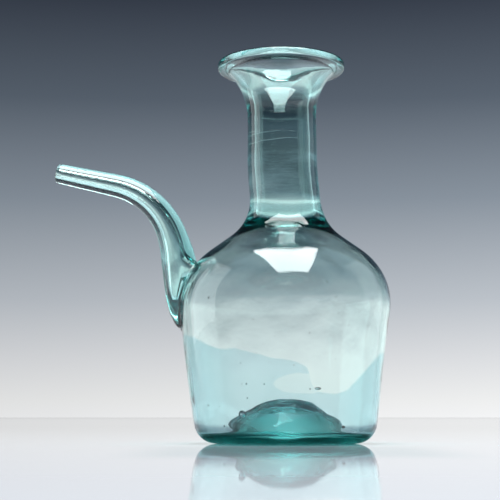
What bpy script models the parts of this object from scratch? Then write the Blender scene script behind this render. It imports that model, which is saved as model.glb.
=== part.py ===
"""Glass porron: a Catalan drinking jug, free blown in pale aqua glass, with a drawn spout.

The whole jug is one piece of glass. Its bowl, neck and lip are turned about an upright axis, then the
neck leans a little towards the spout. The spout is a thick tube, laid on the bowl's wall in a long drop
and open to the bowl through a throat in that wall. Metres, +Z up, standing on z = 0, with the middle of
the jug's box over the origin. The spout points to -X.
"""

from math import ceil, cos, pi, radians, tan

import bmesh
import bpy
from mathutils import Matrix, Vector

# The jug's outer shape: where straight runs of its outline cross, and how wide each crossing is rounded
HEIGHT = 0.2124
FOOT_RADIUS = 0.0300
FOOT_ROUNDING = 0.004
HEEL_RADIUS = 0.0488
HEEL_ROUNDING = 0.0122
SHOULDER_RADIUS = 0.0602
SHOULDER_HEIGHT = 0.0921
SHOULDER_ROUNDING = 0.0362
NECK_RADIUS = 0.0197
NECK_HEIGHT = 0.1212
NECK_ROUNDING = 0.0265
NECK_TOP_RADIUS = 0.0190
FLARE_ROUNDING = 0.037
FLARE_ANGLE = radians(43)

# The lip, folded outwards: its foot stands out from the flare's edge, and both lie this far below its top
LIP_RADIUS = 0.0356
LIP_OVERHANG = 0.0060
LIP_FOLD = 0.0058
LIP_HEIGHT = 0.0052
LIP_ROUNDING = 0.0021
LIP_WIDTH = 0.0044
LIP_INNER_HEIGHT = 0.0050
LIP_INNER_ANGLE = radians(43)
LIP_INNER_ROUNDING = 0.0010

# The push-up under the foot, and the mound that it makes inside
PUSH_UP_HEIGHT = 0.0190
PUSH_UP_CROWN = 0.0110
PUSH_UP_ROUNDING = 0.018
MOUND_HEIGHT = 0.0242
MOUND_CROWN = 0.0105
MOUND_ROUNDING = 0.030
CHANNEL_RADIUS = 0.0425
CHANNEL_ROUNDING = 0.006

# Thickness of the glass in the floor, the bowl and the neck, and how the inside rounds into heel and flare
FLOOR_GLASS = 0.0050
BOWL_WALL = 0.0022
NECK_WALL = 0.0042
INNER_HEEL_ROUNDING = 0.0025
FLARE_INNER_ROUNDING = 0.026
FLARE_INNER_ANGLE = radians(47)

# How far the hot glass moved off the jug's axis, as (height, distance away from the spout)
SWAYS = (
    (0.0, 0.0),
    (0.050, -0.0005),
    (0.093, 0.0004),
    (0.124, 0.0005),
    (0.158, -0.0014),
    (HEIGHT, -0.0019),
)

# The spout's middle line: out from the shoulder's radius, and up from the shoulder's height
TIP_OUT = 0.0670
TIP_UP = 0.0572
BEND_OUT = 0.0094
BEND_UP = 0.0449
BEND_ROUNDING = 0.042
ROOT_OUT = -0.0019
ROOT_UP = 0.0079
ROOT_ROUNDING = 0.060

# The drop of glass under the root, its hollow pocket and the throat: out from the bowl's side at their own height
TAIL_OUT = 0.0003
TAIL_DOWN = 0.0306
POCKET_OUT = 0.0012
POCKET_DOWN = 0.0151
THROAT_OUT = -0.0140
THROAT_DOWN = 0.0066

# The spout's glass and its bore. Both swell evenly, then faster near the root, and the drop narrows to its tail
TIP_RADIUS = 0.0053
ROOT_RADIUS = 0.0097
TAIL_RADIUS = 0.0010
TIP_ROUNDING = 0.0016
BORE_TIP_RADIUS = 0.0018
BORE_ROOT_RADIUS = 0.0042
POCKET_RADIUS = 0.0009
THROAT_START_RADIUS = 0.0038
THROAT_RADIUS = 0.0050
EVEN_SHARE = 0.58
FLARE_POWER = 5
TAIL_FULLNESS = 0.6

# How finely round shapes are divided
TURNED_SIDES = 48
SPOUT_SIDES = 20
BORE_SIDES = 14
ARC_STEP = radians(18)
BEND_STEP = radians(10)
LONGEST_RUN = 0.030
SPOUT_RUN = 0.010
SHARP_EDGE = radians(40)


def rounded(corners, arc_step, longest):
    """Points along straight runs between (u, v, rounding) corners, each corner rounded by an arc."""
    places = [Vector(corner[:2]) for corner in corners]
    runs = [b - a for a, b in zip(places, places[1:])]
    turns = [0.0] + [a.angle_signed(b) for a, b in zip(runs, runs[1:])] + [0.0]
    reaches = [corner[2] * tan(abs(turn) / 2) for corner, turn in zip(corners, turns)]
    shares = [
        min(1.0, run.length / max(a + b, 1e-9))
        for run, a, b in zip(runs, reaches, reaches[1:])
    ]
    points = [places[0]]
    for i in range(1, len(places) - 1):
        reach = reaches[i] * min(shares[i - 1], shares[i])
        if reach < 1e-6:
            points.append(places[i])
            continue
        start = places[i] - runs[i - 1].normalized() * reach
        # mathutils counts a turn to the right as positive
        side = -1.0 if turns[i] > 0 else 1.0
        radius = reach / tan(abs(turns[i]) / 2)
        centre = start + runs[i - 1].normalized().orthogonal() * side * radius
        steps = ceil(abs(turns[i]) / arc_step)
        for k in range(steps + 1):
            spoke = start - centre
            spoke.rotate(Matrix.Rotation(side * abs(turns[i]) * k / steps, 2))
            points.append(centre + spoke)
    points.append(places[-1])
    return divided(points, longest)


def divided(points, longest):
    """The same line with its long runs cut into equal shorter ones, and doubled points left out."""
    found = [points[0]]
    for end in points[1:]:
        run = end - found[-1]
        if run.length < 1e-6:
            continue
        start = found[-1]
        steps = ceil(run.length / longest)
        found += [start + run * k / steps for k in range(1, steps + 1)]
    return found


def crossing(a, b, c, d):
    """Where the line through a and b meets the line through c and d."""
    first, second = b - a, d - c
    return a + first * ((c - a).cross(second) / first.cross(second))


def moved_in(start, end, wall):
    """The run from start to end, moved into the glass by the wall's thickness."""
    inwards = Vector((start.y - end.y, end.x - start.x)).normalized() * wall
    return start + inwards, end + inwards


def sunk(corners, walls):
    """The inner corner inside each corner between the first and last, by the walls before and after it."""
    places = [Vector(corner[:2]) for corner in corners]
    found = []
    for a, b, c, corner, (below, above) in zip(places, places[1:], places[2:], corners[1:], walls):
        place = crossing(*moved_in(a, b, below), *moved_in(b, c, above))
        thickness = (below + above) / 2
        bends_in = (b - a).cross(c - b) > 0
        found.append((*place, corner[2] - thickness if bends_in else corner[2] + thickness))
    return found


def smooth_step(value, low, high):
    share = min(1.0, max(0.0, (value - low) / (high - low)))
    return share * share * (3 - 2 * share)


def outer_corners():
    """The outside of the glass, from under the push-up to the top of the lip."""
    edge = LIP_RADIUS - LIP_OVERHANG
    flare_height = HEIGHT - LIP_FOLD - (edge - NECK_TOP_RADIUS) / tan(FLARE_ANGLE)
    return [
        (0.0, PUSH_UP_HEIGHT, 0.0),
        (PUSH_UP_CROWN, PUSH_UP_HEIGHT, PUSH_UP_ROUNDING),
        (FOOT_RADIUS, 0.0, FOOT_ROUNDING),
        (HEEL_RADIUS, 0.0, HEEL_ROUNDING),
        (SHOULDER_RADIUS, SHOULDER_HEIGHT, SHOULDER_ROUNDING),
        (NECK_RADIUS, NECK_HEIGHT, NECK_ROUNDING),
        (NECK_TOP_RADIUS, flare_height, FLARE_ROUNDING),
        (edge, HEIGHT - LIP_FOLD, LIP_INNER_ROUNDING),
        (LIP_RADIUS, HEIGHT - LIP_HEIGHT, LIP_ROUNDING),
        (LIP_RADIUS, HEIGHT, LIP_ROUNDING),
    ]


def inside_walls(share):
    """The heel, shoulder and neck corners of a line that lies this share of the way through the glass."""
    walls = ((FLOOR_GLASS, BOWL_WALL), (BOWL_WALL, BOWL_WALL), (BOWL_WALL, NECK_WALL))
    return sunk(outer_corners()[2:7], [(below * share, above * share) for below, above in walls])


def section_of_jug():
    """One closed half section of the jug, from the axis under the push-up to the axis on the mound."""
    heel, shoulder, neck = inside_walls(1)
    edge = LIP_RADIUS - LIP_WIDTH
    lip_foot = edge - LIP_INNER_HEIGHT * tan(LIP_INNER_ANGLE)
    throat = NECK_TOP_RADIUS - NECK_WALL
    flare_height = HEIGHT - LIP_INNER_HEIGHT - (lip_foot - throat) / tan(FLARE_INNER_ANGLE)
    inside = [
        (0.0, MOUND_HEIGHT, 0.0),
        (MOUND_CROWN, MOUND_HEIGHT, MOUND_ROUNDING),
        (CHANNEL_RADIUS, FLOOR_GLASS, CHANNEL_ROUNDING),
        (*heel[:2], INNER_HEEL_ROUNDING),
        shoulder,
        neck,
        (throat, flare_height, FLARE_INNER_ROUNDING),
        (lip_foot, HEIGHT - LIP_INNER_HEIGHT, LIP_INNER_HEIGHT),
        (edge, HEIGHT, LIP_INNER_ROUNDING),
    ]
    return rounded(outer_corners() + inside[::-1], ARC_STEP, LONGEST_RUN)


def section_inside_wall():
    """A closed half section whose side runs halfway through the glass of bowl and shoulder."""
    heel, shoulder, neck = inside_walls(0.5)
    corners = [(0.0, heel[1], 0.0), heel, shoulder, neck, (0.0, neck[1], 0.0)]
    return rounded(corners, ARC_STEP, LONGEST_RUN)


def swayed(place):
    """Where a point of the turned jug went while the glass was hot."""
    x, y, z = place
    for (low, before), (high, after) in zip(SWAYS, SWAYS[1:]):
        x += (after - before) * smooth_step(z, low, high)
    return x, y, z


def object_from(bm, name):
    """Closes the bmesh into an object whose faces point out."""
    bmesh.ops.recalc_face_normals(bm, faces=bm.faces)
    mesh = bpy.data.meshes.new(name)
    bm.to_mesh(mesh)
    bm.free()
    made = bpy.data.objects.new(name, mesh)
    bpy.context.scene.collection.objects.link(made)
    return made


def turned(name, section):
    """A body of revolution about Z from a half section of (radius, height) points."""
    bm = bmesh.new()
    verts = [bm.verts.new((point.x, 0.0, point.y)) for point in section]
    edges = [bm.edges.new(pair) for pair in zip(verts, verts[1:])]
    bmesh.ops.spin(
        bm, geom=verts + edges, axis=(0, 0, 1), cent=(0, 0, 0),
        angle=2 * pi, steps=TURNED_SIDES, use_merge=True,
    )
    bmesh.ops.remove_doubles(bm, verts=bm.verts, dist=1e-6)
    for vert in bm.verts:
        vert.co = swayed(vert.co)
    return object_from(bm, name)


def drawn(name, path, radii, sides):
    """A round tube swept along (reach, height) points to the spout's side, with flat ends."""
    bm = bmesh.new()
    placed = []
    across = Vector((0.0, 1.0, 0.0))
    for i, (point, radius) in enumerate(zip(path, radii)):
        run = path[min(i + 1, len(path) - 1)] - path[max(i - 1, 0)]
        ahead = Vector((-run.x, 0.0, run.y)).normalized()
        facing = Matrix((across, ahead.cross(across), ahead)).transposed().to_4x4()
        placed.append(Matrix.Translation((-point.x, 0.0, point.y)) @ facing @ Matrix.Scale(radius, 4))
    made = bmesh.ops.create_circle(
        bm, cap_ends=True, segments=sides, radius=1.0, matrix=placed[0]
    )
    rim = list({edge for vert in made["verts"] for edge in vert.link_edges})
    for before, after in zip(placed, placed[1:]):
        grown = bmesh.ops.extrude_edge_only(bm, edges=rim)["geom"]
        verts = [item for item in grown if isinstance(item, bmesh.types.BMVert)]
        rim = [item for item in grown if isinstance(item, bmesh.types.BMEdge)]
        rim = [edge for edge in rim if edge.verts[0] in verts and edge.verts[1] in verts]
        bmesh.ops.transform(bm, matrix=after @ before.inverted(), verts=verts)
    bmesh.ops.edgeloop_fill(bm, edges=rim)
    return object_from(bm, name)


def distances(path):
    """How far along the path each of its points lies."""
    found = [0.0]
    for a, b in zip(path, path[1:]):
        found.append(found[-1] + (b - a).length)
    return found


def swelling(share, tip, root):
    """The radius this share of the way from tip to root."""
    return tip + (root - tip) * (EVEN_SHARE * share + (1 - EVEN_SHARE) * share**FLARE_POWER)


def from_shoulder(out, up):
    """A place by its distance out from the shoulder's radius and up from its height."""
    return Vector((SHOULDER_RADIUS + out, SHOULDER_HEIGHT + up))


def from_side(out, down):
    """A place by its distance out from the bowl's straight side and down from the shoulder."""
    height = SHOULDER_HEIGHT - down
    side = HEEL_RADIUS + (SHOULDER_RADIUS - HEEL_RADIUS) * height / SHOULDER_HEIGHT
    return Vector((side + out, height))


def spout_glass():
    """The spout's outside: a rounded tip, the stem, the bend, the wide root and the drop that tapers off."""
    root = from_shoulder(ROOT_OUT, ROOT_UP)
    tail = from_side(TAIL_OUT, TAIL_DOWN)
    corners = [
        (*from_shoulder(TIP_OUT, TIP_UP), 0.0),
        (*from_shoulder(BEND_OUT, BEND_UP), BEND_ROUNDING),
        (*root, ROOT_ROUNDING),
        (*tail, 0.0),
    ]
    path = rounded(corners, BEND_STEP, SPOUT_RUN)
    heading = (path[1] - path[0]).normalized()
    path[1:1] = [
        path[0] + heading * TIP_ROUNDING * (1 - cos(turn))
        for turn in (radians(45), radians(90))
    ]
    along = distances(path)
    stem = along[-1] - (root.y - tail.y)
    radii = []
    for distance in along:
        if distance < stem:
            radius = swelling(distance / stem, TIP_RADIUS, ROOT_RADIUS)
        else:
            share = (distance - stem) / (along[-1] - stem)
            fullness = max(0.0, 1 - share**2) ** TAIL_FULLNESS
            radius = TAIL_RADIUS + (ROOT_RADIUS - TAIL_RADIUS) * fullness
        worn_back = max(0.0, 1 - distance / TIP_ROUNDING)
        radii.append(radius - TIP_ROUNDING * (1 - (1 - worn_back**2) ** 0.5))
    return drawn("spout_glass", path, radii, SPOUT_SIDES)


def spout_bore():
    """The narrow bore, from outside the tip down to its pocket in the drop of glass."""
    root = from_shoulder(ROOT_OUT, ROOT_UP)
    pocket = from_side(POCKET_OUT, POCKET_DOWN)
    corners = [
        (*from_shoulder(TIP_OUT, TIP_UP), 0.0),
        (*from_shoulder(BEND_OUT, BEND_UP), BEND_ROUNDING),
        ((root.x + pocket.x) / 2, root.y, ROOT_ROUNDING),
        (*pocket, 0.0),
    ]
    path = rounded(corners, BEND_STEP, SPOUT_RUN)
    path.insert(0, path[0] - (path[1] - path[0]).normalized() * TIP_RADIUS)
    along = distances(path)
    stem = along[-1] - (root.y - pocket.y)
    radii = []
    for distance in along:
        if distance < stem:
            radii.append(swelling(distance / stem, BORE_TIP_RADIUS, BORE_ROOT_RADIUS))
        else:
            share = (distance - stem) / (along[-1] - stem)
            radii.append(POCKET_RADIUS + (BORE_ROOT_RADIUS - POCKET_RADIUS) * (1 - share**2))
    return drawn("spout_bore", path, radii, BORE_SIDES)


def spout_throat():
    """The way from the bore's root through the bowl's wall."""
    ends = [from_shoulder(ROOT_OUT, ROOT_UP), from_side(THROAT_OUT, THROAT_DOWN)]
    path = divided(ends, SPOUT_RUN)
    along = distances(path)
    growth = (THROAT_RADIUS - THROAT_START_RADIUS) / along[-1]
    radii = [THROAT_START_RADIUS + growth * distance for distance in along]
    return drawn("spout_throat", path, radii, BORE_SIDES)


def boolean(target, operation, other):
    """Joins or cuts the target with another object, which is then only a helper."""
    modifier = target.modifiers.new(f"{operation.lower()} {other.name}", "BOOLEAN")
    modifier.operation = operation
    modifier.solver = "EXACT"
    modifier.object = other
    other.hide_render = True
    other.display_type = "WIRE"


def aqua_glass():
    """Pale blue-green bottle glass."""
    material = bpy.data.materials.new("aqua_glass")
    material.use_nodes = True
    shader = material.node_tree.nodes["Principled BSDF"]
    shader.inputs["Base Color"].default_value = (0.60, 0.83, 0.81, 1.0)
    shader.inputs["Metallic"].default_value = 0.0
    shader.inputs["Roughness"].default_value = 0.02
    shader.inputs["IOR"].default_value = 1.5
    shader.inputs["Transmission Weight"].default_value = 1.0
    material.diffuse_color = (0.60, 0.83, 0.81, 1.0)
    return material


for old in list(bpy.data.objects):
    bpy.data.objects.remove(old, do_unlink=True)

jug = turned("glass_porron", section_of_jug())
inside_wall = turned("inside_of_wall", section_inside_wall())
spout = spout_glass()
bore = spout_bore()
throat = spout_throat()

boolean(spout, "DIFFERENCE", inside_wall)
boolean(jug, "UNION", spout)
boolean(jug, "DIFFERENCE", bore)
boolean(jug, "DIFFERENCE", throat)

# The jug's axis goes to the side of the origin, so that its box stands centred
leftmost = min(vert.co.x for vert in spout.data.vertices)
rightmost = max(vert.co.x for vert in jug.data.vertices)
jug.location.x = -(leftmost + rightmost) / 2
for helper in (inside_wall, spout, bore, throat):
    helper.parent = jug

jug.data.shade_smooth()
jug.data.set_sharp_from_angle(angle=SHARP_EDGE)
jug.data.materials.append(aqua_glass())
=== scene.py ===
"""A free blown glass porron, the Catalan drinking jug, as it looks in a plain studio.

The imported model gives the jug's frame and box. This file blows the same form again with finer and wavier
glass, seals seeds, blisters and a stone in it, and adds the traces of use. Metres, +Z up, spout to -X.
"""

import random
from math import acos, ceil, cos, exp, pi, radians, sin, tan

import bmesh
import bpy
from mathutils import Matrix, Vector, noise


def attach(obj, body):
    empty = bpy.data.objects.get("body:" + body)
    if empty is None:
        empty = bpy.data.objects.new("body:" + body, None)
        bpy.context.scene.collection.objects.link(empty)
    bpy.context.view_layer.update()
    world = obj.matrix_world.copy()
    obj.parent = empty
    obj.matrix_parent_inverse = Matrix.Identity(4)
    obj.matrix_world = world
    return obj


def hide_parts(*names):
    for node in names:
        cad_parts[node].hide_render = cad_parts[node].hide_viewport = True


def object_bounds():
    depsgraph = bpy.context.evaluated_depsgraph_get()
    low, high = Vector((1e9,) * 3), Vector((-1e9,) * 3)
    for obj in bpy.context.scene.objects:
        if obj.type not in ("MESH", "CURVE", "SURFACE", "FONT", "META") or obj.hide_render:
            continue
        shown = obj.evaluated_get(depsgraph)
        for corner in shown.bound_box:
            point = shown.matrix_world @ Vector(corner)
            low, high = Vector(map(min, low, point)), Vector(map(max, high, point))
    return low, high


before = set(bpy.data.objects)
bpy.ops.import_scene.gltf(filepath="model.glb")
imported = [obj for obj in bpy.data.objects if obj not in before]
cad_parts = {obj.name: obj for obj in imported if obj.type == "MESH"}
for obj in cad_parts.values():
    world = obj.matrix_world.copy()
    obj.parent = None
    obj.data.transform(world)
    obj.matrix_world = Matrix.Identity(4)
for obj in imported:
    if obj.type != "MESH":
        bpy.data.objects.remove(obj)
cad_low, cad_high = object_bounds()


# The jug's body. Bowl, neck and mouth are one gather of aqua glass, blown, pushed up under the foot with a
# rod, and turned at the mouth until its edge folded into a round lip. Its section is given as corners
# where straight runs would cross, each rounded by its own radius, and is turned about the jug's axis.
HEIGHT = 0.2124
FOOT_RADIUS = 0.0300
HEEL_RADIUS = 0.0488
HEEL_ROUNDING = 0.0122
SHOULDER_RADIUS = 0.0602
SHOULDER_HEIGHT = 0.0921
SHOULDER_ROUNDING = 0.0362
NECK_RADIUS = 0.0197
NECK_HEIGHT = 0.1212
NECK_ROUNDING = 0.0265
NECK_TOP_RADIUS = 0.0190
MOUTH_ROUNDING = 0.037
MOUTH_ANGLE = radians(43)
MOUTH_INNER_ROUNDING = 0.026
MOUTH_INNER_ANGLE = radians(47)
LIP_RADIUS = 0.0356
LIP_WIDTH = 0.0044
LIP_HEIGHT = 0.0052
LIP_OVERHANG = 0.0060
LIP_ROOT = 0.0058
LIP_ROUNDING = 0.0021
LIP_INNER_HEIGHT = 0.0050
LIP_INNER_ANGLE = radians(43)
LIP_INNER_ROUNDING = 0.0010
PUSH_UP_HEIGHT = 0.0190
PUSH_UP_CROWN = 0.0110
PUSH_UP_ROUNDING = 0.018
FOOT_ROUNDING = 0.004
MOUND_HEIGHT = 0.0242
MOUND_CROWN = 0.0105
MOUND_ROUNDING = 0.030
CHANNEL_RADIUS = 0.0425
CHANNEL_ROUNDING = 0.006
FLOOR_GLASS = 0.0050
BOWL_WALL = 0.0022
NECK_WALL = 0.0042
INNER_HEEL_ROUNDING = 0.0025
# The inside of the neck's foot is rounded more tightly than in the solid, which leaves more glass there
NECK_INNER_ROUNDING = 0.010

# How far the hot glass moved off its axis, as (height, distance away from the spout)
SWAYS = (
    (0.0, 0.0),
    (0.050, -0.0005),
    (0.093, 0.0004),
    (0.124, 0.0005),
    (0.158, -0.0014),
    (HEIGHT, -0.0019),
)

# How finely it is turned, how often its bends are eased, and how close two points are to be one
BODY_SIDES = 192
BODY_RUN = 0.0018
BODY_ARC = radians(9)
SETTLING = 2
SAME_PLACE = 1e-6


def smooth_step(value, low, high):
    share = min(1.0, max(0.0, (value - low) / (high - low)))
    return share * share * (3 - 2 * share)


def divided(points, longest):
    """The same line with its long runs cut into equal shorter ones, and doubled points left out."""
    found = [points[0]]
    for end in points[1:]:
        start = found[-1]
        run = end - start
        if run.length < SAME_PLACE:
            continue
        steps = ceil(run.length / longest)
        found += [start + run * k / steps for k in range(1, steps + 1)]
    return found


def rounded(corners, arc_step, longest):
    """Points along straight runs between (u, v, rounding) corners, each corner rounded by an arc."""
    places = [Vector(corner[:2]) for corner in corners]
    runs = [b - a for a, b in zip(places, places[1:])]
    turns = [0.0] + [a.angle_signed(b) for a, b in zip(runs, runs[1:])] + [0.0]
    reaches = [corner[2] * tan(abs(turn) / 2) for corner, turn in zip(corners, turns)]
    shares = [min(1.0, run.length / max(a + b, 1e-9)) for run, a, b in zip(runs, reaches, reaches[1:])]
    points = [places[0]]
    for i in range(1, len(places) - 1):
        reach = reaches[i] * min(shares[i - 1], shares[i])
        if reach < SAME_PLACE:
            points.append(places[i])
            continue
        ahead = runs[i - 1].normalized()
        start = places[i] - ahead * reach
        # mathutils counts a turn to the right as positive
        side = -1.0 if turns[i] > 0 else 1.0
        radius = reach / tan(abs(turns[i]) / 2)
        centre = start + ahead.orthogonal() * side * radius
        steps = ceil(abs(turns[i]) / min(arc_step, longest / radius))
        for k in range(steps + 1):
            spoke = start - centre
            spoke.rotate(Matrix.Rotation(side * abs(turns[i]) * k / steps, 2))
            points.append(centre + spoke)
    points.append(places[-1])
    return divided(points, longest)


def settled(points, times):
    """The line with its bends eased into each other, as hot glass eases them. Its ends stay."""
    for _ in range(times):
        within = [(a + b * 2 + c) / 4 for a, b, c in zip(points, points[1:], points[2:])]
        points = [points[0], *within, points[-1]]
    return points


def crossing(a, b, c, d):
    """Where the line through a and b meets the line through c and d."""
    first, second = b - a, d - c
    return a + first * ((c - a).cross(second) / first.cross(second))


def moved_in(start, end, wall):
    """The run from start to end, moved into the glass by the wall's thickness."""
    inwards = Vector((start.y - end.y, end.x - start.x)).normalized() * wall
    return start + inwards, end + inwards


def sunk(corners, walls):
    """The inner corner inside each corner between the first and last, by the walls before and after it."""
    places = [Vector(corner[:2]) for corner in corners]
    found = []
    for a, b, c, corner, (below, above) in zip(places, places[1:], places[2:], corners[1:], walls):
        place = crossing(*moved_in(a, b, below), *moved_in(b, c, above))
        thickness = (below + above) / 2
        bends_in = (b - a).cross(c - b) > 0
        found.append((*place, corner[2] - thickness if bends_in else corner[2] + thickness))
    return found


mouth_edge = LIP_RADIUS - LIP_OVERHANG
mouth_corner = HEIGHT - LIP_ROOT - (mouth_edge - NECK_TOP_RADIUS) / tan(MOUTH_ANGLE)
inner_edge = LIP_RADIUS - LIP_WIDTH
inner_lip_foot = inner_edge - LIP_INNER_HEIGHT * tan(LIP_INNER_ANGLE)
inner_neck = NECK_TOP_RADIUS - NECK_WALL
inner_mouth_corner = HEIGHT - LIP_INNER_HEIGHT - (inner_lip_foot - inner_neck) / tan(MOUTH_INNER_ANGLE)
outer_corners = [
    (0.0, PUSH_UP_HEIGHT, 0.0),
    (PUSH_UP_CROWN, PUSH_UP_HEIGHT, PUSH_UP_ROUNDING),
    (FOOT_RADIUS, 0.0, FOOT_ROUNDING),
    (HEEL_RADIUS, 0.0, HEEL_ROUNDING),
    (SHOULDER_RADIUS, SHOULDER_HEIGHT, SHOULDER_ROUNDING),
    (NECK_RADIUS, NECK_HEIGHT, NECK_ROUNDING),
    (NECK_TOP_RADIUS, mouth_corner, MOUTH_ROUNDING),
    (mouth_edge, HEIGHT - LIP_ROOT, LIP_INNER_ROUNDING),
    (LIP_RADIUS, HEIGHT - LIP_HEIGHT, LIP_ROUNDING),
    (LIP_RADIUS, HEIGHT, LIP_ROUNDING),
]
walls = ((FLOOR_GLASS, BOWL_WALL), (BOWL_WALL, BOWL_WALL), (BOWL_WALL, NECK_WALL))
inner_heel, inner_shoulder, inner_foot = sunk(outer_corners[2:7], walls)
inside_corners = [
    (0.0, MOUND_HEIGHT, 0.0),
    (MOUND_CROWN, MOUND_HEIGHT, MOUND_ROUNDING),
    (CHANNEL_RADIUS, FLOOR_GLASS, CHANNEL_ROUNDING),
    (*inner_heel[:2], INNER_HEEL_ROUNDING),
    inner_shoulder,
    (*inner_foot[:2], NECK_INNER_ROUNDING),
    (inner_neck, inner_mouth_corner, MOUTH_INNER_ROUNDING),
    (inner_lip_foot, HEIGHT - LIP_INNER_HEIGHT, LIP_INNER_HEIGHT),
    (inner_edge, HEIGHT, LIP_INNER_ROUNDING),
]


def swayed(place):
    """Where a point of the turned jug went while the glass was hot."""
    x, y, z = place
    for (low, before), (high, after) in zip(SWAYS, SWAYS[1:]):
        x += (after - before) * smooth_step(z, low, high)
    return Vector((x, y, z))


# How uneven the glass is: depth of its waves, and how many to a metre
OUTER_WAVE = 0.00006
INNER_WAVE = 0.00016
WAVES = 38
WAVE_STRETCH = 0.6
FINE_WAVES = 2.3
FINE_WAVE_SHARE = 0.45
OUTER_PATTERN = Vector((0.0, 0.0, 9.0))
INNER_PATTERN = Vector((7.0, 3.0, 0.0))
MOUND_WAVE = 0.0009
MOUND_WAVES = 75
MOUND_EASING = 0.010
FINE_LUMPS = 2.6
FINE_LUMP_SHARE = 0.4
# Rings from the turning, which the bowl has less of than the neck and mouth
TURNING_WAVE = 0.00005
TURNINGS = 160
TURNING_PATTERN = (0.3, 0.7)
BOWL_SHARE = 0.2
BOWL_TOP = 0.095
NECK_START = 0.130
# A shallow hollow in front, where the neck meets the shoulder: how deep, where, and how far it spreads
HOLLOW = 0.0016
HOLLOW_INWARDS = Vector((0.0, 0.9, -0.45))
HOLLOW_ACROSS = 0.0005
HOLLOW_HEIGHT = 0.1205
HOLLOW_WIDTH = 0.0100
HOLLOW_TALL = 0.0065


def turned(section, sides, waves=None):
    """A mesh of revolution from a half section. waves gives each section point its depth of waves."""
    bm = bmesh.new()
    depth = bm.verts.layers.float.new("depth")
    verts = [bm.verts.new((point.x, 0.0, point.y)) for point in section]
    for vert, wave in zip(verts, waves or [0.0] * len(verts)):
        vert[depth] = wave
    edges = [bm.edges.new(pair) for pair in zip(verts, verts[1:])]
    bmesh.ops.spin(
        bm, geom=verts + edges, axis=(0, 0, 1), cent=(0, 0, 0),
        angle=2 * pi, steps=sides, use_merge=True,
    )
    bmesh.ops.remove_doubles(bm, verts=bm.verts, dist=SAME_PLACE)
    bmesh.ops.recalc_face_normals(bm, faces=bm.faces)
    bm.normal_update()
    for vert in bm.verts:
        place = vert.co.copy()
        if vert[depth]:
            pattern = OUTER_PATTERN if vert[depth] > 0 else INNER_PATTERN
            swell = noise.noise(Vector((place.x, place.y, place.z * WAVE_STRETCH)) * WAVES + pattern)
            swell += FINE_WAVE_SHARE * noise.noise(place * WAVES * FINE_WAVES + pattern)
            place += vert.normal * abs(vert[depth]) * swell
            if vert[depth] < 0 and place.z < MOUND_HEIGHT + BOWL_WALL:
                lumps = noise.noise(place * MOUND_WAVES)
                lumps += FINE_LUMP_SHARE * noise.noise(place * MOUND_WAVES * FINE_LUMPS)
                from_wall = CHANNEL_RADIUS - place.xy.length
                place += vert.normal * MOUND_WAVE * lumps * smooth_step(from_wall, 0.0, MOUND_EASING)
            share = BOWL_SHARE + (1 - BOWL_SHARE) * smooth_step(place.z, BOWL_TOP, NECK_START)
            turning = noise.noise(Vector((*TURNING_PATTERN, place.z * TURNINGS)))
            place += vert.normal * (TURNING_WAVE * share) * turning
        if place.y < 0.0:
            from_middle = ((place.x - HOLLOW_ACROSS) / HOLLOW_WIDTH) ** 2
            from_middle += ((place.z - HOLLOW_HEIGHT) / HOLLOW_TALL) ** 2
            place += HOLLOW_INWARDS * HOLLOW * exp(-from_middle)
        vert.co = swayed(place)
    return bm


def object_from(bm, name):
    bmesh.ops.recalc_face_normals(bm, faces=bm.faces)
    mesh = bpy.data.meshes.new(name)
    bm.to_mesh(mesh)
    bm.free()
    made = bpy.data.objects.new(name, mesh)
    bpy.context.scene.collection.objects.link(made)
    return made


section = rounded([*outer_corners, *inside_corners[::-1]], BODY_ARC, BODY_RUN)
rim = max(range(len(section)), key=lambda k: section[k].y)
section = settled(section, SETTLING)
resting = min(point.y for point in section)
section = [point - Vector((0.0, resting)) for point in section]
depths = [OUTER_WAVE] * rim + [-INNER_WAVE] * (len(section) - rim)
body = object_from(turned(section, BODY_SIDES, depths), "body_glass")

halves = [(below / 2, above / 2) for below, above in walls]
heel, shoulder, neck = sunk(outer_corners[2:7], halves)
wall_corners = [(0.0, heel[1], 0.0), heel, shoulder, neck, (0.0, neck[1], 0.0)]
inside_wall = object_from(turned(rounded(wall_corners, BODY_ARC, BODY_RUN), BODY_SIDES), "inside_of_wall")


# The spout. A gather of glass was laid on the wall in a long drop, pierced, drawn out into a thick tube
# and bent over. Its bore ends in a pocket in the drop, and a throat opens it into the bowl.
TIP_OUT = 0.0670
TIP_UP = 0.0572
BEND_OUT = 0.0094
BEND_UP = 0.0449
BEND_ROUNDING = 0.042
ROOT_OUT = -0.0019
ROOT_UP = 0.0079
ROOT_ROUNDING = 0.060
TAIL_OUT = 0.0003
TAIL_DOWN = 0.0306
POCKET_OUT = 0.0012
POCKET_DOWN = 0.0151
THROAT_OUT = -0.0140
THROAT_DOWN = 0.0066
TIP_RADIUS = 0.0053
ROOT_RADIUS = 0.0097
TAIL_RADIUS = 0.0010
TIP_ROUNDING = 0.0016
TIP_STEP = 15
BORE_TIP_RADIUS = 0.0018
BORE_ROOT_RADIUS = 0.0042
POCKET_RADIUS = 0.0009
THROAT_START_RADIUS = 0.0038
THROAT_RADIUS = 0.0050
EVEN_SHARE = 0.58
FLARE_POWER = 5
TAIL_FULLNESS = 0.6
SPOUT_SIDES = 64
BORE_SIDES = 40
SPOUT_RUN = 0.0020
SPOUT_ARC = radians(3)


def from_shoulder(out, up):
    return Vector((SHOULDER_RADIUS + out, SHOULDER_HEIGHT + up))


def from_side(out, down):
    height = SHOULDER_HEIGHT - down
    side = HEEL_RADIUS + (SHOULDER_RADIUS - HEEL_RADIUS) * height / SHOULDER_HEIGHT
    return Vector((side + out, height))


def distances(path):
    """How far along the path each of its points lies."""
    found = [0.0]
    for a, b in zip(path, path[1:]):
        found.append(found[-1] + (b - a).length)
    return found


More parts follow.
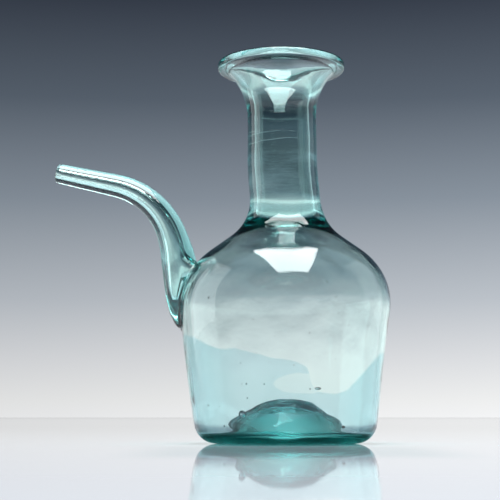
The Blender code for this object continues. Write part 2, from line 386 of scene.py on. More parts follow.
def swelling(share, tip, root):
    """The radius this share of the way from tip to root."""
    return tip + (root - tip) * (EVEN_SHARE * share + (1 - EVEN_SHARE) * share**FLARE_POWER)


def drawn(name, path, radii, sides):
    """A round tube swept along (reach, height) points to the spout's side, with flat ends."""
    bm = bmesh.new()
    placed = []
    across = Vector((0.0, 1.0, 0.0))
    for i, (point, radius) in enumerate(zip(path, radii)):
        run = path[min(i + 1, len(path) - 1)] - path[max(i - 1, 0)]
        ahead = Vector((-run.x, 0.0, run.y)).normalized()
        facing = Matrix((across, ahead.cross(across), ahead)).transposed().to_4x4()
        placed.append(Matrix.Translation((-point.x, 0.0, point.y)) @ facing @ Matrix.Scale(radius, 4))
    made = bmesh.ops.create_circle(bm, cap_ends=True, segments=sides, radius=1.0, matrix=placed[0])
    rim = list({edge for vert in made["verts"] for edge in vert.link_edges})
    for before, after in zip(placed, placed[1:]):
        grown = bmesh.ops.extrude_edge_only(bm, edges=rim)["geom"]
        verts = {item for item in grown if isinstance(item, bmesh.types.BMVert)}
        rim = [item for item in grown if isinstance(item, bmesh.types.BMEdge)]
        rim = [edge for edge in rim if edge.verts[0] in verts and edge.verts[1] in verts]
        bmesh.ops.transform(bm, matrix=after @ before.inverted(), verts=list(verts))
    bmesh.ops.edgeloop_fill(bm, edges=rim)
    return object_from(bm, name)


tip = from_shoulder(TIP_OUT, TIP_UP)
bend = from_shoulder(BEND_OUT, BEND_UP)
root = from_shoulder(ROOT_OUT, ROOT_UP)
tail = from_side(TAIL_OUT, TAIL_DOWN)
pocket = from_side(POCKET_OUT, POCKET_DOWN)

corners = [(*tip, 0.0), (*bend, BEND_ROUNDING), (*root, ROOT_ROUNDING), (*tail, 0.0)]
path = settled(rounded(corners, SPOUT_ARC, SPOUT_RUN), SETTLING)
heading = (path[1] - path[0]).normalized()
turns = [radians(turn) for turn in range(TIP_STEP, 91, TIP_STEP)]
path[1:1] = [path[0] + heading * TIP_ROUNDING * (1 - cos(turn)) for turn in turns]
along = distances(path)
stem = along[-1] - (root.y - tail.y)
radii = []
for distance in along:
    if distance < stem:
        radius = swelling(distance / stem, TIP_RADIUS, ROOT_RADIUS)
    else:
        share = (distance - stem) / (along[-1] - stem)
        radius = TAIL_RADIUS + (ROOT_RADIUS - TAIL_RADIUS) * max(0.0, 1 - share**2) ** TAIL_FULLNESS
    worn_back = max(0.0, 1 - distance / TIP_ROUNDING)
    radii.append(radius - TIP_ROUNDING * (1 - (1 - worn_back**2) ** 0.5))
spout = drawn("spout_glass", path, radii, SPOUT_SIDES)

bore_root = Vector(((root.x + pocket.x) / 2, root.y))
corners = [(*tip, 0.0), (*bend, BEND_ROUNDING), (*bore_root, ROOT_ROUNDING), (*pocket, 0.0)]
path = settled(rounded(corners, SPOUT_ARC, SPOUT_RUN), SETTLING)
path.insert(0, path[0] - (path[1] - path[0]).normalized() * TIP_RADIUS)
along = distances(path)
stem = along[-1] - (root.y - pocket.y)
radii = []
for distance in along:
    if distance < stem:
        radii.append(swelling(distance / stem, BORE_TIP_RADIUS, BORE_ROOT_RADIUS))
    else:
        share = (distance - stem) / (along[-1] - stem)
        radii.append(POCKET_RADIUS + (BORE_ROOT_RADIUS - POCKET_RADIUS) * (1 - share**2))
bore = drawn("spout_bore", path, radii, BORE_SIDES)

path = divided([root, from_side(THROAT_OUT, THROAT_DOWN)], SPOUT_RUN)
growth = (THROAT_RADIUS - THROAT_START_RADIUS) / (path[-1] - path[0]).length
radii = [THROAT_START_RADIUS + growth * distance for distance in distances(path)]
throat = drawn("spout_throat", path, radii, BORE_SIDES)


def boolean(target, operation, other):
    modifier = target.modifiers.new(f"{operation.lower()} {other.name}", "BOOLEAN")
    modifier.operation = operation
    modifier.solver = "EXACT"
    modifier.object = other


boolean(spout, "DIFFERENCE", inside_wall)
boolean(body, "UNION", spout)
boolean(body, "DIFFERENCE", bore)
boolean(body, "DIFFERENCE", throat)
bpy.context.view_layer.update()
fused = bpy.data.meshes.new_from_object(body.evaluated_get(bpy.context.evaluated_depsgraph_get()))
for helper in (body, inside_wall, spout, bore, throat):
    bpy.data.objects.remove(helper)

# The fused seam eases out where the spout's glass met the wall, this far to the spout's side
SEAM_FAR = -0.080
SEAM_NEAR = -0.035
SEAM_ANGLE = radians(18)
SEAM_SPREAD = 3
SEAM_EASING = 8
SEAM_MERGE = 0.0002
bm = bmesh.new()
bm.from_mesh(fused)
bmesh.ops.triangulate(bm, faces=[face for face in bm.faces if len(face.verts) > 4])
seam = set()
for edge in bm.edges:
    sharp = edge.is_manifold and edge.calc_face_angle() > SEAM_ANGLE
    if sharp and SEAM_FAR < edge.verts[0].co.x < SEAM_NEAR:
        seam.update(edge.verts)
bmesh.ops.remove_doubles(bm, verts=list(seam), dist=SEAM_MERGE)
seam = {vert for vert in seam if vert.is_valid}
for _ in range(SEAM_SPREAD):
    seam |= {other for vert in seam for edge in vert.link_edges for other in edge.verts}
for _ in range(SEAM_EASING):
    bmesh.ops.smooth_vert(
        bm, verts=list(seam), factor=0.5, use_axis_x=True, use_axis_y=True, use_axis_z=True
    )
bmesh.ops.dissolve_degenerate(bm, dist=SAME_PLACE, edges=bm.edges)
porron = object_from(bm, "porron_glass")
rightmost = max(vert.co.x for vert in porron.data.vertices)
axis_x = cad_high.x - rightmost

# The seeds and blisters sealed in the front wall, as (across, height, half width, half height), and the
# many smaller seeds that lie anywhere in the wall
BLISTERS = (
    (-0.0236, 0.0157, 0.0021, 0.0021),
    (0.0157, 0.0288, 0.0017, 0.0007),
    (-0.0415, 0.0760, 0.0006, 0.0006),
    (0.0200, 0.0830, 0.0004, 0.0005),
)
BLISTER_DEPTH = 0.0008
SEEDS = (
    (-0.0415, 0.0205, 0.0005),
    (-0.0330, 0.0098, 0.0005),
    (-0.0208, 0.0240, 0.0004),
    (-0.0212, 0.0312, 0.0005),
    (-0.0120, 0.0310, 0.0004),
    (0.0116, 0.0285, 0.0004),
    (0.0034, 0.0405, 0.0003),
)
SMALL_SEEDS = 90
SMALL_SEED_HEIGHTS = (0.012, 0.19)
SMALL_SEED_SIZES = (0.00010, 0.00028)
SMALL_SEED_DEPTHS = (0.35, 0.65)
SMALL_SEED_STRETCH = (1.0, 1.8)
SEED_SIDES = 12
SEED_RINGS = 8
# The wall's outside and inside as (height, radius), without the push-up and the mound
beyond_foot = [point for point in section[:rim] if point.x > FOOT_RADIUS or point.y > SHOULDER_HEIGHT]
beyond_mound = [point for point in section[rim:] if point.x > CHANNEL_RADIUS or point.y > SHOULDER_HEIGHT]
outer_line = sorted((point.y, point.x) for point in beyond_foot)
inner_line = sorted((point.y, point.x) for point in beyond_mound)


def reach_at(line, height):
    """How far from the axis this line of (height, radius) points is at a height."""
    for (low, near), (high, far) in zip(line, line[1:]):
        if low <= height <= high:
            return near + (far - near) * (height - low) / max(high - low, 1e-9)
    return line[-1][1]


def in_wall(height, bearing, share):
    """The place in the wall at this height and bearing, this share of the way from outside to inside."""
    outer, inner = reach_at(outer_line, height), reach_at(inner_line, height)
    radius = outer + (inner - outer) * share
    return swayed((radius * cos(bearing), radius * sin(bearing), height))


def bubble(bm, place, bearing, half_depth, half_width, half_height):
    facing = Matrix.Translation(place) @ Matrix.Rotation(bearing, 4, "Z")
    size = Matrix.Diagonal((half_depth, half_width, half_height, 1.0))
    bmesh.ops.create_uvsphere(
        bm, u_segments=SEED_SIDES, v_segments=SEED_RINGS, radius=1.0, matrix=facing @ size
    )


bm = bmesh.new()
for across, height, half_width, half_height in BLISTERS:
    bearing = -acos(across / reach_at(outer_line, height))
    half_depth = min(half_height, BLISTER_DEPTH)
    bubble(bm, in_wall(height, bearing, 0.5), bearing, half_depth, half_width, half_height)
for across, height, half_width in SEEDS:
    bearing = -acos(across / reach_at(outer_line, height))
    bubble(bm, in_wall(height, bearing, 0.5), bearing, half_width, half_width, half_width)
chance = random.Random(4)
for _ in range(SMALL_SEEDS):
    height = chance.uniform(*SMALL_SEED_HEIGHTS)
    half_width = chance.uniform(*SMALL_SEED_SIZES)
    bearing = chance.uniform(-pi, pi)
    place = in_wall(height, bearing, chance.uniform(*SMALL_SEED_DEPTHS))
    bubble(bm, place, bearing, half_width, half_width, half_width * chance.uniform(*SMALL_SEED_STRETCH))
# A bubble is a void, so its faces look inwards
bmesh.ops.reverse_faces(bm, faces=bm.faces)
bm.from_mesh(porron.data)
# The waves swelled it by a hair, so it is drawn back into the solid's own box
HAIR = 1e-6
for k in range(3):
    places = [vert.co[k] for vert in bm.verts]
    least = min(places)
    share = (cad_high[k] - cad_low[k] - 2 * HAIR) / (max(places) - least)
    for vert, place in zip(bm.verts, places):
        vert.co[k] = cad_low[k] + HAIR + (place - least) * share
bm.to_mesh(porron.data)
bm.free()
porron.data.shade_smooth()


def reckoned(tree, operation, *values):
    """What a maths node makes of these values, each a number or another node's output."""
    made = tree.nodes.new("ShaderNodeMath")
    made.operation = operation
    for socket, value in zip(made.inputs, values):
        if isinstance(value, (int, float)):
            socket.default_value = value
        else:
            tree.links.new(value, socket)
    return made.outputs["Value"]


def eased(tree, value, start, end):
    """0 before the start, 1 past the end, and smooth between. The end may lie below the start."""
    made = tree.nodes.new("ShaderNodeMapRange")
    made.interpolation_type = "SMOOTHSTEP"
    made.inputs["From Min"].default_value = start
    made.inputs["From Max"].default_value = end
    tree.links.new(value, made.inputs["Value"])
    return made.outputs["Result"]


def mixed(tree, factor, first, second):
    """The second colour over the first by the factor. Each is a colour or another node's output."""
    made = tree.nodes.new("ShaderNodeMix")
    made.data_type = "RGBA"
    tree.links.new(factor, made.inputs["Factor"])
    for name, value in (("A", first), ("B", second)):
        if isinstance(value, tuple):
            made.inputs[name].default_value = value
        else:
            tree.links.new(value, made.inputs[name])
    return made.outputs["Result"]


def uneven(tree, place, scale, detail):
    """A smooth noise from 0 to 1 with this many lumps to a metre."""
    made = tree.nodes.new("ShaderNodeTexNoise")
    made.inputs["Scale"].default_value = scale
    made.inputs["Detail"].default_value = detail
    tree.links.new(place, made.inputs["Vector"])
    return made.outputs["Fac"]


# The glass itself: clear, and aqua only by its depth, as iron in the sand leaves it. The front of the
# lower body is painted bluer below a wavy edge, a painted pattern of the light refracted by its wavy wall,
# and dregs dried brown on the spout's tip.
GLASS_IOR = 1.52
GLASS_TINT = (0.03, 0.68, 0.67, 1.0)
GLASS_DEPTH = 75.0
PAINTED_REFRACTION_TINT = (0.75, 0.87, 0.905, 1.0)
PAINTED_REFRACTION_SIDE_TINT = (0.62, 0.81, 0.85, 1.0)
PALE_GLASS = (1.0, 0.998, 0.985, 1.0)
SKIRT_TINT = (0.60, 0.93, 0.87, 1.0)
DREGS = (0.52, 0.40, 0.30, 1.0)
ROD_ROUGHNESS = 0.45
ROD_ASIDE = 0.13
PAINTED_REFRACTION_HALF = 0.060
PAINTED_REFRACTION_TOP = 0.080
PAINTED_REFRACTION_BLUR = (0.0004, -0.0005)
PAINTED_REFRACTION_FRONT = (0.004, -0.004)
PAINTED_REFRACTION_SIDES = (0.020, 0.046)
FRAY = 0.0015
FRAYS = 90.0
# A pale tongue inside the painted edge, where the painted tint lies thinner, as (across, height)
TONGUE = (0.008, 0.0313)
TONGUE_HALF = (0.0153, 0.0050)
TONGUE_BLUR = (0.85, 1.15)
TONGUE_COVER = 0.4
DREGS_REACH = (0.0016, 0.0004)
# The wavy edge of the painted tint, as (across, height)
PAINTED_REFRACTION_EDGE = (
    (-0.060, 0.0600),
    (-0.0468, 0.0552),
    (-0.0385, 0.0506),
    (-0.0296, 0.0494),
    (-0.0127, 0.0454),
    (0.0045, 0.0419),
    (0.0087, 0.0400),
    (0.0105, 0.0370),
    (0.0123, 0.0307),
    (0.0164, 0.0272),
    (0.0296, 0.0278),
    (0.0335, 0.0315),
    (0.0429, 0.0413),
    (0.0505, 0.0477),
    (0.060, 0.0500),
)
glass = bpy.data.materials.new("aqua_glass")
glass.use_nodes = True
tree = glass.node_tree
links = tree.links
shader = tree.nodes["Principled BSDF"]
place = tree.nodes.new("ShaderNodeTexCoord").outputs["Object"]
parts = tree.nodes.new("ShaderNodeSeparateXYZ")
links.new(place, parts.inputs["Vector"])
across = reckoned(tree, "SUBTRACT", parts.outputs["X"], axis_x)
height = parts.outputs["Z"]
# The painted refraction pattern: bluer below the wavy edge on the front, paler in the tongue, deeper at
# the sides
edge = tree.nodes.new("ShaderNodeFloatCurve")
curve = edge.mapping.curves[0]
while len(curve.points) < len(PAINTED_REFRACTION_EDGE):
    curve.points.new(0.5, 0.5)
for point, (side, up) in zip(curve.points, PAINTED_REFRACTION_EDGE):
    point.location = ((side + PAINTED_REFRACTION_HALF) / (2 * PAINTED_REFRACTION_HALF), up / PAINTED_REFRACTION_TOP)
edge.mapping.update()
side = reckoned(tree, "MULTIPLY_ADD", across, 1 / (2 * PAINTED_REFRACTION_HALF), 0.5)
links.new(side, edge.inputs["Value"])
fray = reckoned(tree, "MULTIPLY_ADD", uneven(tree, place, FRAYS, detail=3.0), 2 * FRAY, -FRAY)
edge_height = reckoned(tree, "MULTIPLY_ADD", edge.outputs["Value"], PAINTED_REFRACTION_TOP, fray)
painted_refraction = eased(tree, reckoned(tree, "SUBTRACT", height, edge_height), *PAINTED_REFRACTION_BLUR)
off_tongue = 0.0
frayed_height = reckoned(tree, "ADD", height, fray)
for value, middle, half in zip((across, frayed_height), TONGUE, TONGUE_HALF):
    off_middle = reckoned(tree, "MULTIPLY_ADD", value, 1 / half, -middle / half)
    off_tongue = reckoned(tree, "ADD", off_tongue, reckoned(tree, "POWER", off_middle, 2.0))
tongue = eased(tree, off_tongue, *TONGUE_BLUR)
cover = reckoned(tree, "MULTIPLY_ADD", tongue, 1 - TONGUE_COVER, TONGUE_COVER)
painted_refraction = reckoned(tree, "MULTIPLY", painted_refraction, cover)
painted_refraction = reckoned(tree, "MULTIPLY", painted_refraction, eased(tree, parts.outputs["Y"], *PAINTED_REFRACTION_FRONT))
dregs_start, dregs_end = (cad_low.x + from_tip for from_tip in DREGS_REACH)
stained = eased(tree, parts.outputs["X"], dregs_start, dregs_end)
at_side = eased(tree, reckoned(tree, "ABSOLUTE", across), *PAINTED_REFRACTION_SIDES)
colour = mixed(tree, painted_refraction, PALE_GLASS, mixed(tree, at_side, PAINTED_REFRACTION_TINT, PAINTED_REFRACTION_SIDE_TINT))
from_axis = tree.nodes.new("ShaderNodeVectorMath")
from_axis.operation = "LENGTH"
beside = tree.nodes.new("ShaderNodeCombineXYZ")
links.new(across, beside.inputs["X"])
links.new(parts.outputs["Y"], beside.inputs["Y"])
links.new(beside.outputs["Vector"], from_axis.inputs[0])
radius = from_axis.outputs["Value"]
# A slope halfway through the mound's glass, which is height plus this share of the distance from the axis,
# parts the underside, left rough by the rod, from the mound's skirt on the inside, deeper in colour
MOUND_SLOPE = 0.51
UNDERSIDE = (0.0222, 0.0210)
ROD_REACH = (0.0285, 0.0245)
SKIRT = (0.0222, 0.0234)
SKIRT_START = (0.025, 0.030)
SKIRT_END = (0.0460, 0.0435)
SKIRT_TOP = (0.018, 0.014)
under = reckoned(tree, "MULTIPLY_ADD", radius, MOUND_SLOPE, height)
off_rod = reckoned(tree, "MULTIPLY_ADD", across, -ROD_ASIDE, radius)
rough = reckoned(tree, "MULTIPLY", eased(tree, under, *UNDERSIDE), eased(tree, off_rod, *ROD_REACH))
links.new(reckoned(tree, "MULTIPLY", rough, ROD_ROUGHNESS), shader.inputs["Roughness"])
skirt = reckoned(tree, "MULTIPLY", eased(tree, radius, *SKIRT_START), eased(tree, radius, *SKIRT_END))
skirt = reckoned(tree, "MULTIPLY", skirt, eased(tree, height, *SKIRT_TOP))
skirt = reckoned(tree, "MULTIPLY", skirt, eased(tree, under, *SKIRT))
colour = mixed(tree, skirt, colour, SKIRT_TINT)
links.new(mixed(tree, stained, colour, DREGS), shader.inputs["Base Color"])
shader.inputs["IOR"].default_value = GLASS_IOR
shader.inputs["Transmission Weight"].default_value = 1.0

# Ripples in the skin of the glass, rings from the turning of neck and mouth, and wrinkles low on the right
RIPPLES = 130.0
RINGS = 420.0
RING_SPREAD = (0.10, 0.10, 1.0)
RING_START = (0.10, 0.15)
RING_DEPTH = 0.5
WRINKLES = 260.0
WRINKLE_SPREAD = (1.0, 1.0, 0.12)
WRINKLE_SIDE = (0.040, 0.048)
WRINKLE_TOP = (0.050, 0.035)
WRINKLE_DEPTH = 2.0


def drawn_out(tree, place, spread):
    """The place, scaled so that a noise read there is drawn out along the axes with a small scale."""
    made = tree.nodes.new("ShaderNodeMapping")
    made.inputs["Scale"].default_value = spread
    tree.links.new(place, made.inputs["Vector"])
    return made.outputs["Vector"]


ripples = uneven(tree, place, RIPPLES, detail=2.0)
rings = uneven(tree, drawn_out(tree, place, RING_SPREAD), RINGS, detail=2.0)
rings = reckoned(tree, "MULTIPLY", rings, eased(tree, height, *RING_START))
wrinkles = uneven(tree, drawn_out(tree, place, WRINKLE_SPREAD), WRINKLES, detail=2.0)
low_down = eased(tree, height, *WRINKLE_TOP)
on_right = reckoned(tree, "MULTIPLY", eased(tree, across, *WRINKLE_SIDE), low_down)
wrinkles = reckoned(tree, "MULTIPLY", wrinkles, on_right)
skin = reckoned(tree, "MULTIPLY_ADD", rings, RING_DEPTH, ripples)
skin = reckoned(tree, "MULTIPLY_ADD", wrinkles, WRINKLE_DEPTH, skin)
# Scratches round the front of the neck, as (height, slope, left end, right end)
SCRATCHES = (
    (0.1694, 0.00, -0.018, 0.0060),
    (0.1655, 0.06, -0.018, 0.0075),
    (0.1672, -0.25, -0.018, -0.0120),
    (0.1838, 0.02, -0.010, 0.0070),
    (0.1818, -0.03, -0.008, 0.0060),
)
SCRATCH_BLUR = (0.00040, 0.00005)
SCRATCH_FADE = 0.002
SCRATCH_DEPTH = 0.5
SCRATCH_WANDER = 0.0008
SCRATCH_BENDS = 160.0
bends = uneven(tree, place, SCRATCH_BENDS, detail=1.0)
wander = reckoned(tree, "MULTIPLY_ADD", bends, 2 * SCRATCH_WANDER, -SCRATCH_WANDER)
for level, slope, left_end, right_end in SCRATCHES:
    line = reckoned(tree, "MULTIPLY_ADD", across, -slope, reckoned(tree, "ADD", height, wander))
    off_line = reckoned(tree, "ABSOLUTE", reckoned(tree, "SUBTRACT", line, level))
    scratch = eased(tree, off_line, *SCRATCH_BLUR)
    scratch = reckoned(tree, "MULTIPLY", scratch, eased(tree, across, left_end, left_end + SCRATCH_FADE))
    scratch = reckoned(tree, "MULTIPLY", scratch, eased(tree, across, right_end, right_end - SCRATCH_FADE))
    scratch = reckoned(tree, "MULTIPLY", scratch, eased(tree, parts.outputs["Y"], 0.0, -SCRATCH_FADE))
    skin = reckoned(tree, "MULTIPLY_ADD", scratch, -SCRATCH_DEPTH, skin)
SKIN_DEPTH = 0.00004
bump = tree.nodes.new("ShaderNodeBump")
bump.inputs["Strength"].default_value = 1.0
bump.inputs["Distance"].default_value = SKIN_DEPTH
links.new(skin, bump.inputs["Height"])
links.new(bump.outputs["Normal"], shader.inputs["Normal"])
depth = tree.nodes.new("ShaderNodeVolumeAbsorption")
depth.inputs["Color"].default_value = GLASS_TINT
depth.inputs["Density"].default_value = GLASS_DEPTH
links.new(depth.outputs["Volume"], tree.nodes["Material Output"].inputs["Volume"])
porron.data.materials.clear()
porron.data.materials.append(glass)
porron.visible_shadow = False
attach(porron, "root")
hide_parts("glass_porron")


# The stone, a crumb of the furnace's burnt clay that never melted in the pot. The blower took it up with
# the glass, and it sits sealed in the front wall, low down on the right, black and rough.
STONE_ACROSS = 0.0292
STONE_HEIGHT = 0.0094
STONE_HALF = (0.0006, 0.0011, 0.0007)
STONE_LUMPS = 1.7
STONE_LUMP = 0.25
STONE_GRAIN = 900.0
CLAY_DARK = (0.006, 0.006, 0.007, 1.0)
CLAY_PALE = (0.05, 0.045, 0.04, 1.0)
CLAY_ROUGHNESS = 0.8
bearing = -acos(STONE_ACROSS / reach_at(outer_line, STONE_HEIGHT))
bm = bmesh.new()
bmesh.ops.create_icosphere(bm, subdivisions=2, radius=1.0)
for vert in bm.verts:
    vert.co *= 1.0 + STONE_LUMP * noise.noise(vert.co * STONE_LUMPS)
bmesh.ops.scale(bm, verts=bm.verts, vec=STONE_HALF)
bmesh.ops.rotate(bm, verts=bm.verts, matrix=Matrix.Rotation(bearing, 3, "Z"))
place = in_wall(STONE_HEIGHT, bearing, 0.5) + Vector((axis_x, 0.0, 0.0))
bmesh.ops.translate(bm, verts=bm.verts, vec=place)
stone = object_from(bm, "stone")
clay = bpy.data.materials.new("burnt_clay")
clay.use_nodes = True
tree = clay.node_tree
shader = tree.nodes["Principled BSDF"]
place = tree.nodes.new("ShaderNodeTexCoord").outputs["Object"]
grain = uneven(tree, place, STONE_GRAIN, detail=3.0)
tree.links.new(mixed(tree, grain, CLAY_DARK, CLAY_PALE), shader.inputs["Base Color"])
shader.inputs["Roughness"].default_value = CLAY_ROUGHNESS
stone.data.materials.append(clay)
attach(stone, "root")


# The table, a broad sheet of glossy white plastic. Under the jug a painted shadow darkens it to the colour
# of the light that comes down through the glass, lighter at the middle, and in front of it the jug's soft
# shadow is painted.
TABLE_SIDE = 30.0
bm = bmesh.new()
bmesh.ops.create_grid(bm, x_segments=1, y_segments=1, size=TABLE_SIDE / 2)
table = object_from(bm, "table")
# The table's colour with the painted shadow and painted light under the jug, as (distance from the jug's
# axis, colour)
PAINTED_SHADE_AND_LIGHT_UNDER_JUG = (
    (0.0, (0.06, 0.26, 0.26)),
    (0.020, (0.06, 0.26, 0.26)),
    (0.030, (0.02, 0.10, 0.10)),
    (0.048, (0.02, 0.10, 0.10)),
    (0.056, (0.28, 0.50, 0.54)),
    (0.072, (0.55, 0.68, 0.73)),
    (0.110, (0.65, 0.68, 0.73)),
)
TABLE_IOR = 1.12
TABLE_ROUGHNESS = 0.03
FRONT_SHADE = (0.38, 0.50, 0.55, 1.0)
SHADE_SIDES = (0.080, 0.045)
SHADE_START = (-0.05, -0.09)
SHADE_END = (-0.28, -0.19)
# The table glows with painted light for every ray but the camera's, as the glass takes up more light from
# the table than the camera sees there
GLOW = 0.30
GLOW_START = (0.12, 0.20)
gloss = bpy.data.materials.new("glossy_white")
gloss.use_nodes = True
nodes, links = gloss.node_tree.nodes, gloss.node_tree.links
shader = nodes["Principled BSDF"]
shader.inputs["Roughness"].default_value = TABLE_ROUGHNESS
shader.inputs["IOR"].default_value = TABLE_IOR
place = nodes.new("ShaderNodeTexCoord")
from_axis = nodes.new("ShaderNodeVectorMath")
from_axis.operation = "DISTANCE"
from_axis.inputs[1].default_value = (axis_x, 0.0, 0.0)
share = nodes.new("ShaderNodeMapRange")
share.inputs["From Max"].default_value = PAINTED_SHADE_AND_LIGHT_UNDER_JUG[-1][0]
# The table's white, with the painted shadow and painted light under the jug
table_and_painted_shade = nodes.new("ShaderNodeValToRGB")
while len(table_and_painted_shade.color_ramp.elements) < len(PAINTED_SHADE_AND_LIGHT_UNDER_JUG):
    table_and_painted_shade.color_ramp.elements.new(1.0)
for element, (distance, colour) in zip(table_and_painted_shade.color_ramp.elements, PAINTED_SHADE_AND_LIGHT_UNDER_JUG):
    element.position = distance / PAINTED_SHADE_AND_LIGHT_UNDER_JUG[-1][0]
    element.color = (*colour, 1.0)
links.new(place.outputs["Object"], from_axis.inputs[0])
links.new(from_axis.outputs["Value"], share.inputs["Value"])
links.new(share.outputs["Result"], table_and_painted_shade.inputs["Fac"])
beside = nodes.new("ShaderNodeSeparateXYZ")
links.new(place.outputs["Object"], beside.inputs["Vector"])
tree = gloss.node_tree
# The jug's soft shadow, painted on the table in front of it
off_axis = reckoned(tree, "ABSOLUTE", reckoned(tree, "SUBTRACT", beside.outputs["X"], axis_x))
in_front = eased(tree, beside.outputs["Y"], *SHADE_START)
shade = reckoned(tree, "MULTIPLY", eased(tree, off_axis, *SHADE_SIDES), in_front)
shade = reckoned(tree, "MULTIPLY", shade, eased(tree, beside.outputs["Y"], *SHADE_END))
links.new(mixed(tree, shade, table_and_painted_shade.outputs["Color"], FRONT_SHADE), shader.inputs["Base Color"])
unseen = reckoned(tree, "SUBTRACT", 1.0, nodes.new("ShaderNodeLightPath").outputs["Is Camera Ray"])
glow = reckoned(tree, "MULTIPLY", eased(tree, from_axis.outputs["Value"], *GLOW_START), GLOW)
shader.inputs["Emission Color"].default_value = (1.0, 1.0, 1.0, 1.0)
links.new(reckoned(tree, "MULTIPLY", glow, unseen), shader.inputs["Emission Strength"])
table.data.materials.append(gloss)


# The backdrop and the light. The backdrop is pale at table height and falls off to slate above. A large
# soft light hangs over the jug, towards the camera, and a pale panel stands on each side.
# Each list is (degrees above level, screen colour).
BACKDROP = (
    (0.0, (236, 237, 238)),
    (0.7, (231, 232, 232)),
    (2.4, (214, 216, 219)),
    (5.0, (182, 188, 195)),
    (9.4, (132, 142, 153)),
    (13.7, (86, 96, 108)),
    (18.0, (53, 60, 72)),
    (26.0, (36, 42, 52)),
)
# What shows through the jug is a painted brighter backdrop, seen only through the glass: brighter low
# down, darker above
THROUGH_GLASS = (
    (0.0, (248, 248, 249)),
    (1.5, (250, 249, 249)),
    (2.2, (250, 248, 249)),
    (3.3, (232, 230, 233)),
    (4.2, (208, 209, 213)),
    (5.2, (176, 179, 186)),
    (6.2, (166, 170, 178)),
    (9.4, (134, 144, 155)),
    (11.5, (92, 100, 108)),
    (13.0, (88, 98, 110)),
    (18.0, (53, 60, 72)),
    (26.0, (36, 42, 52)),
)
# The room behind the camera, which the glass mirrors
ROOM = (
    (0.0, (255, 255, 255)),
    (4.0, (250, 250, 250)),
    (8.0, (140, 146, 154)),
    (11.0, (46, 52, 62)),
    (26.0, (44, 50, 60)),
    (40.0, (42, 48, 58)),
)
BRIGHTER_RIGHT = 0.4
ROOM_START = 0.2
world = bpy.data.worlds.new("studio")
bpy.context.scene.world = world
world.use_nodes = True
tree = world.node_tree
nodes, links = tree.nodes, tree.links
direction = nodes.new("ShaderNodeTexCoord")
parts = nodes.new("ShaderNodeSeparateXYZ")
links.new(direction.outputs["Generated"], parts.inputs["Vector"])


def linear(red, green, blue):
    """A colour given as screen values up to 255, as the light values that a shader takes."""
    shares = [value / 255 for value in (red, green, blue)]
    return [s / 12.92 if s <= 0.04045 else ((s + 0.055) / 1.055) ** 2.4 for s in shares]


def by_height(stops):
    """The world's colour by how high one looks, from stops of (degrees, colour)."""
    highest = sin(radians(stops[-1][0]))
    rise = nodes.new("ShaderNodeMapRange")
    rise.inputs["From Max"].default_value = highest
    ramp = nodes.new("ShaderNodeValToRGB")
    while len(ramp.color_ramp.elements) < len(stops):
        ramp.color_ramp.elements.new(1.0)
    for element, (degrees, colour) in zip(ramp.color_ramp.elements, stops):
        element.position = sin(radians(degrees)) / highest
        element.color = (*linear(*colour), 1.0)
    links.new(parts.outputs["Z"], rise.inputs["Value"])
    links.new(rise.outputs["Result"], ramp.inputs["Fac"])
    return ramp.outputs["Color"]


behind_camera = nodes.new("ShaderNodeMapRange")
behind_camera.inputs["From Min"].default_value = ROOM_START
behind_camera.inputs["From Max"].default_value = -ROOM_START
links.new(parts.outputs["Y"], behind_camera.inputs["Value"])
left_glass = nodes.new("ShaderNodeLightPath").outputs["Is Transmission Ray"]
# Rays that have passed through the glass see the painted brighter backdrop
backdrop = mixed(tree, left_glass, by_height(BACKDROP), by_height(THROUGH_GLASS))
studio = mixed(tree, behind_camera.outputs["Result"], backdrop, by_height(ROOM))
strength = reckoned(tree, "MULTIPLY_ADD", parts.outputs["X"], BRIGHTER_RIGHT, 1.0)
links.new(studio, nodes["Background"].inputs["Color"])
links.new(strength, nodes["Background"].inputs["Strength"])


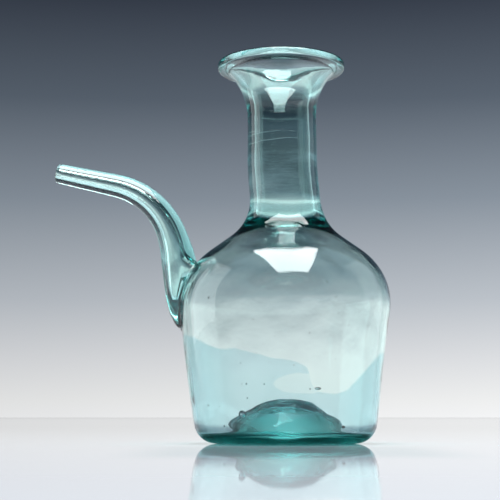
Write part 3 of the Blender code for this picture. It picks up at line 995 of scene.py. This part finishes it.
def soft_light(name, place, target, width, height, radiance, turn=0.0):
    """A flat light of this brightness, seen in reflections and through glass, but not by the camera."""
    light = bpy.data.lights.new(name, "AREA")
    light.shape = "RECTANGLE"
    light.size = width
    light.size_y = height
    light.energy = radiance * pi * width * height
    made = bpy.data.objects.new(name, light)
    made.location = place
    facing = (Vector(target) - Vector(place)).to_track_quat("-Z", "Y").to_matrix()
    made.rotation_euler = (Matrix.Rotation(turn, 3, "Z") @ facing).to_euler()
    made.visible_camera = False
    bpy.context.scene.collection.objects.link(made)
    return made


TOP_ASIDE = 0.055
TOP_FRONT = -0.32
TOP_HEIGHT = 0.95
TOP_WIDTH = 0.62
TOP_LENGTH = 1.0
TOP_RADIANCE = 9.0
TOP_TURN = radians(7.5)
top_x = axis_x + TOP_ASIDE
soft_light(
    "top_light", (top_x, TOP_FRONT, TOP_HEIGHT), (top_x, TOP_FRONT, 0.0),
    TOP_WIDTH, TOP_LENGTH, TOP_RADIANCE, TOP_TURN,
)
# The panels as (name, away to the right, behind, width, radiance)
PANELS = (
    ("left_panel", -0.9, 0.22, 0.75, 1.2),
    ("right_panel", 0.9, 0.33, 0.65, 0.45),
)
PANEL_UP = 0.45
PANEL_HEIGHT = 1.1
for name, aside, behind, width, radiance in PANELS:
    place = (axis_x + aside, behind, PANEL_UP)
    soft_light(name, place, (axis_x, behind, PANEL_UP), width, PANEL_HEIGHT, radiance)


# The camera stands low in front of the jug, a little towards the spout, and looks up. Its long lens keeps
# the jug's sides nearly parallel.
CAMERA_SIDE = -0.0193
CAMERA_BACK = 0.7208
CAMERA_HEIGHT = 0.0148
CAMERA_PITCH = radians(7.215)
LENS = 94.54
camera = bpy.data.objects.new("camera", bpy.data.cameras.new("camera"))
camera.data.lens = LENS
camera.location = (axis_x + CAMERA_SIDE, -CAMERA_BACK, CAMERA_HEIGHT)
camera.rotation_euler = (pi / 2 + CAMERA_PITCH, 0.0, 0.0)
bpy.context.scene.collection.objects.link(camera)
bpy.context.scene.camera = camera
bpy.context.scene.view_settings.view_transform = "Standard"
# Light runs far along inside the walls, so it may bounce often
BOUNCES = 32
bpy.context.scene.cycles.transmission_bounces = BOUNCES
bpy.context.scene.cycles.max_bounces = BOUNCES
bpy.context.scene.cycles.glossy_bounces = BOUNCES
